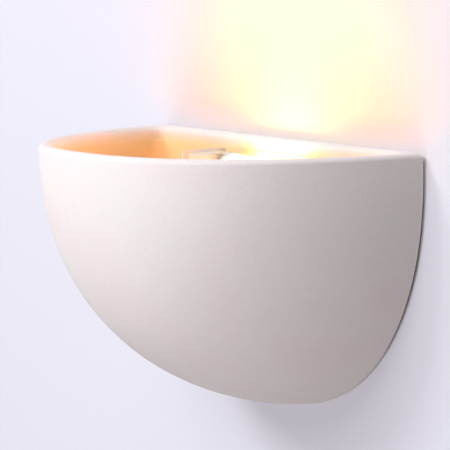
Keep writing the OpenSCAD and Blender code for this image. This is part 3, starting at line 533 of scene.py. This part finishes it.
def bowl_point(column, across, depth):
    """A point of the skin: across is 0 on the outside and 1 on the inside."""
    share = left_at(depth, SHADE_H)
    outer = loop_point(column, share * HALF_W, share * PROJECTION, 0, BACK_EDGE)
    share = left_at(depth, SHADE_H - FLOOR)
    band = BAND_STEP * min(max((BAND_H + BAND_STEP - depth) / BAND_STEP, 0), 1)
    inner = loop_point(column, share * (HALF_W - WALL) + band, share * (PROJECTION - WALL) + band,
                       BACK - band, INNER_CORNER)
    flat = outer if across == 0 else inner if across == 1 else outer.lerp(inner, across)
    return Vector((flat.x, flat.y, RIM_Z - depth))


def skin_rows():
    """How far across the wall and how deep each row lies."""
    edge_share = RIM_EDGE / (WALL - BAND_STEP)
    quarter = [math.pi / 2 * i / EDGE_ROWS for i in range(EDGE_ROWS + 1)]
    outside = [(0, RIM_EDGE + (SHADE_H - RIM_EDGE) * math.sin(math.pi / 2 * i / OUTER_ROWS))
               for i in range(OUTER_ROWS, 0, -1)]
    over = [(edge_share * (1 - math.cos(a)), RIM_EDGE * (1 - math.sin(a))) for a in quarter]
    down = [(1 - across, depth) for across, depth in reversed(over)]
    inner_h = SHADE_H - FLOOR
    inner_end = inner_h * (1 - (BACK / (PROJECTION - WALL)) ** SIDE_R_POW) ** (1 / SIDE_Z_POW)
    band = [(1, RIM_EDGE + (BAND_H - RIM_EDGE) * i / 4) for i in range(1, 5)]
    first = BAND_H + BAND_STEP
    inside = [(1, first + (inner_end - first) * math.sin(math.pi / 2 * i / INNER_ROWS))
              for i in range(INNER_ROWS + 1)]
    return outside + over + down + band + inside


def skin_columns():
    corner = [i / CORNER_COLUMNS for i in range(CORNER_COLUMNS)]
    return ([("right", t) for t in corner]
            + [("front", i / FRONT_COLUMNS) for i in range(FRONT_COLUMNS + 1)]
            + [("left", t) for t in reversed(corner)]
            + [("back", i / BACK_COLUMNS) for i in range(BACK_COLUMNS - 1, 0, -1)][::-1])


def sponged(bm):
    """Takes a hand's unevenness off the bowl, always into the clay, and leaves the ground back flat."""
    bm.normal_update()
    for v in bm.verts:
        off_wall = min(max((BACK_Y - v.co.y - SPONGE_START) / SPONGE_FADE, 0), 1)
        wave = (noise.noise(v.co * per(SPONGE_LONG_MM))
                + SPONGE_SHORT_SHARE * noise.noise(v.co * per(SPONGE_SHORT_MM)))
        highest = 1 + SPONGE_SHORT_SHARE
        v.co -= v.normal * off_wall * SPONGE_DEPTH * (highest + wave) / highest


def shade_piece(material):
    rows, columns = skin_rows(), skin_columns()
    bm = bmesh.new()
    bmesh.ops.create_grid(bm, x_segments=len(columns), y_segments=len(rows) - 1, size=1)
    for v in bm.verts:
        i = round((v.co.x + 1) / 2 * len(columns)) % len(columns)
        across, depth = rows[round((v.co.y + 1) / 2 * (len(rows) - 1))]
        v.co = bowl_point(columns[i], across, depth)
    bmesh.ops.remove_doubles(bm, verts=bm.verts, dist=SKIN_WELD)
    bmesh.ops.recalc_face_normals(bm, faces=bm.faces)
    sponged(bm)
    obj = new_object("bisque_shade", mesh_of(bm))
    strap_low, strap_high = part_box("wall_strap")
    pocket_w = strap_high.x - strap_low.x + 2 * POCKET_GAP
    pocket_h = strap_high.z - strap_low.z + 2 * POCKET_GAP
    past_back = BACK_Y - BACK - CUT_OVER
    cut(obj, plate_mesh(*WINDOW, WINDOW_R, past_back, CUT_OVER))
    cut(obj, plate_mesh(pocket_w, pocket_h, POCKET_R, strap_low.y, CUT_OVER))
    for side in (-1, 1):
        cut(obj, rod_mesh(STUD_HOLE_R, past_back, CUT_OVER, side * STUD_X))
    smooth_shading(obj, 50)
    return put(obj, material, "bisque", "fixture", "shade")


# Stage --------------------------------------------------------------------------------------------

WALL_SIZE = 2.4
WALL_GAP = 0.3 * MM
WALL_CODE = "#e8e9f3"
FLOOR_SIZE = 8.0
FLOOR_Z = -1.4

# Where the lamp's light is painted on the wall: its middle, where it fades aside, and the heights above the
# rim between which it comes and goes, each with its least share.
PAINTED_GLOW_X = 12 * MM
PAINTED_GLOW_HALF = (15 * MM, 172 * MM)
PAINTED_GLOW_LEVELS = [(-30 * MM, 0, 0.0), (5 * MM, 19 * MM, 0.4), (160 * MM, 30 * MM, 0.0)]

# The point inside the bowl that the studio's lights face.
LIGHTS_AIM = Vector((0, -50 * MM, 0))

# The light that goes to and fro inside the bowl: its place, radius, power in watts and colour.
BOUNCE_PLACE = (20 * MM, -72 * MM, -2 * MM)
BOUNCE_R = 12 * MM
BOUNCE_POWER = 0.07
BOUNCE_CODE = "#ff9a48"


def stage_paint(name, paint):
    """Plain paint that is seen and reflected from its front only. It lets light pass, so that the object
    is lit from all sides, and keeps the object's shadow. The paint function gives its colour and glow."""
    material = bpy.data.materials.new(name)
    material.use_nodes = True
    tree = material.node_tree
    tree.nodes.clear()
    rays = add(tree, "LightPath")
    seen = add(tree, "Math", {0: rays.outputs["Is Camera Ray"], 1: rays.outputs["Is Glossy Ray"]},
               operation="MAXIMUM")
    seen = add(tree, "Math", {0: seen.outputs[0], 1: rays.outputs["Is Transmission Ray"]},
               operation="MAXIMUM")
    behind = add(tree, "NewGeometry").outputs["Backfacing"]
    shown = add(tree, "Math", {0: seen.outputs[0], 1: behind}, operation="SUBTRACT", use_clamp=True)
    base, glow = paint(tree)
    coat = add(tree, "BsdfDiffuse", {"Color": base})
    lit = add(tree, "AddShader", {0: coat.outputs[0], 1: add(tree, "Emission", {"Color": glow}).outputs[0]})
    mixed = add(tree, "MixShader", {0: shown.outputs[0], 1: add(tree, "BsdfTransparent").outputs[0],
                                    2: lit.outputs[0]})
    add(tree, "OutputMaterial", {"Surface": mixed.outputs[0]})
    return material


def floor_paint(tree):
    """Pale paint that glows weakly by itself, because less light reaches it than the wall."""
    return colour("#e6e6ec"), colour("#8e8e95")


def wall_paint_with_painted_glow(tree):
    """Cool white paint, with a pool of the lamp's light painted on above the shade as a cream tint and a weak
    glow of its own."""
    place = add(tree, "SeparateXYZ", {"Vector": add(tree, "TexCoord").outputs["Object"]})
    aside = add(tree, "Math", {0: place.outputs["X"], 1: PAINTED_GLOW_X}, operation="SUBTRACT")
    aside = add(tree, "Math", {0: aside.outputs[0]}, operation="ABSOLUTE")
    share = add(tree, "MapRange", {"Value": aside.outputs[0], "From Min": PAINTED_GLOW_HALF[0],
                                   "From Max": PAINTED_GLOW_HALF[1], "To Min": 1.0, "To Max": 0.0},
                interpolation_type="SMOOTHSTEP")
    for start, end, lowest in PAINTED_GLOW_LEVELS:
        level = add(tree, "MapRange", {"Value": place.outputs["Z"], "From Min": RIM_Z + start,
                                       "From Max": RIM_Z + end, "To Min": lowest},
                    interpolation_type="SMOOTHSTEP")
        share = add(tree, "Math", {0: share.outputs[0], 1: level.outputs[0]}, operation="MULTIPLY")
    # Painted light of the lamp: a cream base and a glow of its own, fullest in the pool above the shade.
    base = add(tree, "ValToRGB", {"Fac": share.outputs[0]},
               stops=[(0.0, WALL_CODE), (0.16, "#efe8ec"), (0.38, "#f3e9e2"), (0.75, "#f0e6de")])
    glow = add(tree, "ValToRGB", {"Fac": share.outputs[0]}, stops=[(0.34, "#000000"), (1.0, "#8c7c30")])
    return base.outputs["Color"], glow.outputs["Color"]


def stage_plane(name, size, turn, place, material):
    bm = bmesh.new()
    bmesh.ops.create_grid(bm, x_segments=1, y_segments=1, size=size / 2)
    bmesh.ops.rotate(bm, matrix=Matrix.Rotation(turn, 3, "X"), verts=bm.verts)
    bmesh.ops.translate(bm, vec=place, verts=bm.verts)
    obj = new_object(name, mesh_of(bm))
    obj.data.materials.append(material)


def area_light(name, direction, distance, size, power, code):
    data = bpy.data.lights.new(name, "AREA")
    data.shape = "DISK"
    data.size = size
    data.energy = power
    data.color = colour(code)[:3]
    obj = new_object(name, data)
    back = Vector(direction).normalized()
    obj.location = LIGHTS_AIM + back * distance
    obj.rotation_euler = back.to_track_quat("Z", "Y").to_euler()


def warm_bounce():
    """Stands in for the lamp's light that goes to and fro inside the bowl."""
    data = bpy.data.lights.new("warm_bounce", "POINT")
    data.shadow_soft_size = BOUNCE_R
    data.energy = BOUNCE_POWER
    data.color = colour(BOUNCE_CODE)[:3]
    obj = new_object("warm_bounce", data)
    obj.location = BOUNCE_PLACE
    obj.visible_camera = False
    obj.visible_glossy = False


def world_light(ambient, backdrop, strength):
    """Even light that weakens towards the zenith, as under a ceiling."""
    world = bpy.data.worlds.new("studio")
    bpy.context.scene.world = world
    world.use_nodes = True
    tree = world.node_tree
    tree.nodes.clear()
    upward = add(tree, "SeparateXYZ", {"Vector": add(tree, "TexCoord").outputs["Generated"]})
    level = add(tree, "MapRange", {"Value": upward.outputs["Z"], "From Min": 0.2, "From Max": 0.8,
                                   "To Min": strength, "To Max": 0.6 * strength})
    soft = add(tree, "Background", {"Color": colour(ambient), "Strength": level.outputs["Result"]})
    plain = add(tree, "Background", {"Color": colour(backdrop), "Strength": 1.0})
    camera_ray = add(tree, "LightPath").outputs["Is Camera Ray"]
    mixed = add(tree, "MixShader", {0: camera_ray, 1: soft.outputs[0], 2: plain.outputs[0]})
    add(tree, "OutputWorld", {"Surface": mixed.outputs[0]})


def stage():
    wall, floor = stage_paint("wall_paint_with_painted_glow", wall_paint_with_painted_glow), stage_paint("floor_paint", floor_paint)
    stage_plane("wall", WALL_SIZE, math.pi / 2, (0, WALL_GAP, 0), wall)
    stage_plane("floor", FLOOR_SIZE, 0, (0, 0, FLOOR_Z), floor)
    area_light("key", (-0.36, -0.74, 0.60), 1.6, 0.6, 9.8, "#f9fcff")
    area_light("fill", (0.16, -0.8, 0.57), 2.0, 1.1, 11.0, "#f9f9fe")
    area_light("top", (0.1, -0.25, 1.0), 1.8, 1.2, 7.5, "#fff9f6")
    area_light("low_fill", (0.02, -0.95, -0.30), 2.0, 1.2, 11.2, "#fffafb")
    area_light("back", (0.25, 1.0, 0.4), 2.2, 1.6, 16, "#f8f9ff")
    world_light("#f8f0f2", "#f1f0f6", 0.372)
    warm_bounce()


def camera():
    """The photograph's view: from the right of the wall's normal, a little above the rim."""
    azimuth, elevation, roll = (math.radians(a) for a in (60.539, 5.161, -1.421))
    distance = 4.0
    focal_px = 8192.6
    frame_px = 450
    side = -34.66 * MM
    target = Vector((side * math.cos(azimuth), side * math.sin(azimuth), 3.03 * MM))
    back = Vector((math.sin(azimuth) * math.cos(elevation), -math.cos(azimuth) * math.cos(elevation),
                   math.sin(elevation)))
    level = (-back).cross(Vector((0, 0, 1))).normalized()
    upward = level.cross(-back)
    right = math.cos(roll) * level + math.sin(roll) * upward
    up = math.cos(roll) * upward - math.sin(roll) * level
    data = bpy.data.cameras.new("camera")
    data.sensor_width = 36
    data.lens = data.sensor_width * focal_px / frame_px
    data.clip_end = 50
    obj = new_object("camera", data)
    turn = Matrix((right, up, back)).transposed().to_4x4()
    obj.matrix_world = Matrix.Translation(target + back * distance) @ turn
    bpy.context.scene.camera = obj


# Making -------------------------------------------------------------------------------------------

camera()
stage()

zinc, nickel, brass = zinc_plate(), nickel_plate(), plain_brass()
aluminium, white_coat, ivory = bright_aluminium(), powder_coat(), steatite()
milky, cap_white = nylon(), cap_moulding()

shade_piece(bisque())
softened("wall_seal", "foam_seal", cell_foam(), "foam", 0.25)
softened("wall_strap", "steel_strap", zinc, "zinc_steel", 0.25)
softened("strap_studs", "threaded_studs", zinc, "zinc_steel", 0.25)
softened("cable_grommet", "rubber_grommet", moulded_rubber(), "rubber", 0.6, segments=3)
softened("lamp_carrier", "coated_carrier", white_coat, "white_coat", 0.3)
softened("carrier_bush", "nylon_bush", milky, "nylon", 0.4)
softened("fibre_washers", "red_washers", vulcanised_fibre(), "fibre", 0.12)
softened("cap_nuts", "domed_nuts", nickel, "nickel", 0.35)
softened("reflector", "bright_reflector", aluminium, "bright_aluminium", 0.15)
softened("reflector_rivets", "rivets", aluminium, "bright_aluminium", 0.2)
softened("fixed_lampholder", "left_holder", ivory, "steatite", 0.35)
softened("sprung_lampholder", "right_holder", ivory, "steatite", 0.35)
softened("holder_screws", "holder_screws_plated", zinc, "zinc_steel", 0.15)
softened("holder_nuts", "holder_nuts_plated", zinc, "zinc_steel", 0.15)
softened("fixed_contact", "left_contact", brass, "brass", 0.15)
softened("sprung_contact", "right_contact", brass, "brass", 0.15)
spring = softened("contact_spring", "coil_spring", spring_steel(), "spring_steel", 0.05, sharp_angle=80)
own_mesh(spring)
softened("contact_strips", "brass_strips", brass, "brass", 0.08)
softened("lamp_tube", "opal_lamp_tube", opal_glass(), "opal", 0.2)
softened("lamp_end_caps", "white_lamp_caps", cap_white, "cap_white", 0.2)
softened("lamp_contacts", "lamp_buttons", nickel, "nickel", 0.15)
softened("lamp_board", "white_board", solder_mask(), "board", 0.1)
softened("lamp_chips", "yellow_chips", phosphor(), "chip", 0.15)
softened("terminal_block", "connector_block", milky, "nylon", 0.4)
softened("terminal_clamps", "brass_clamps", brass, "brass", 0.15)
softened("terminal_screws", "clamp_screws", zinc, "zinc_steel", 0.12)
softened("terminal_fixing_screw", "block_screw", zinc, "zinc_steel", 0.15)
softened("live_wire", "brown_wire", silicone_sleeve("brown_silicone", "#5e3520", "#744530"),
         "live_sleeve", 0.3, sharp_angle=60)
softened("neutral_wire", "blue_wire", silicone_sleeve("blue_silicone", "#2d5f92", "#4176a8"),
         "neutral_sleeve", 0.3, sharp_angle=60)
softened("earth_wire", "earth_lead",
         silicone_sleeve("green_yellow_silicone", "#3f7a33", "#569447", "#e6cf3a"),
         "earth_sleeve", 0.3, sharp_angle=60)
softened("wire_ferrules", "wire_ends", nickel, "nickel", 0.1)
softened("earth_tag", "tag", nickel, "nickel", 0.12)
softened("earth_screw", "earth_screw_brass", brass, "brass", 0.15)
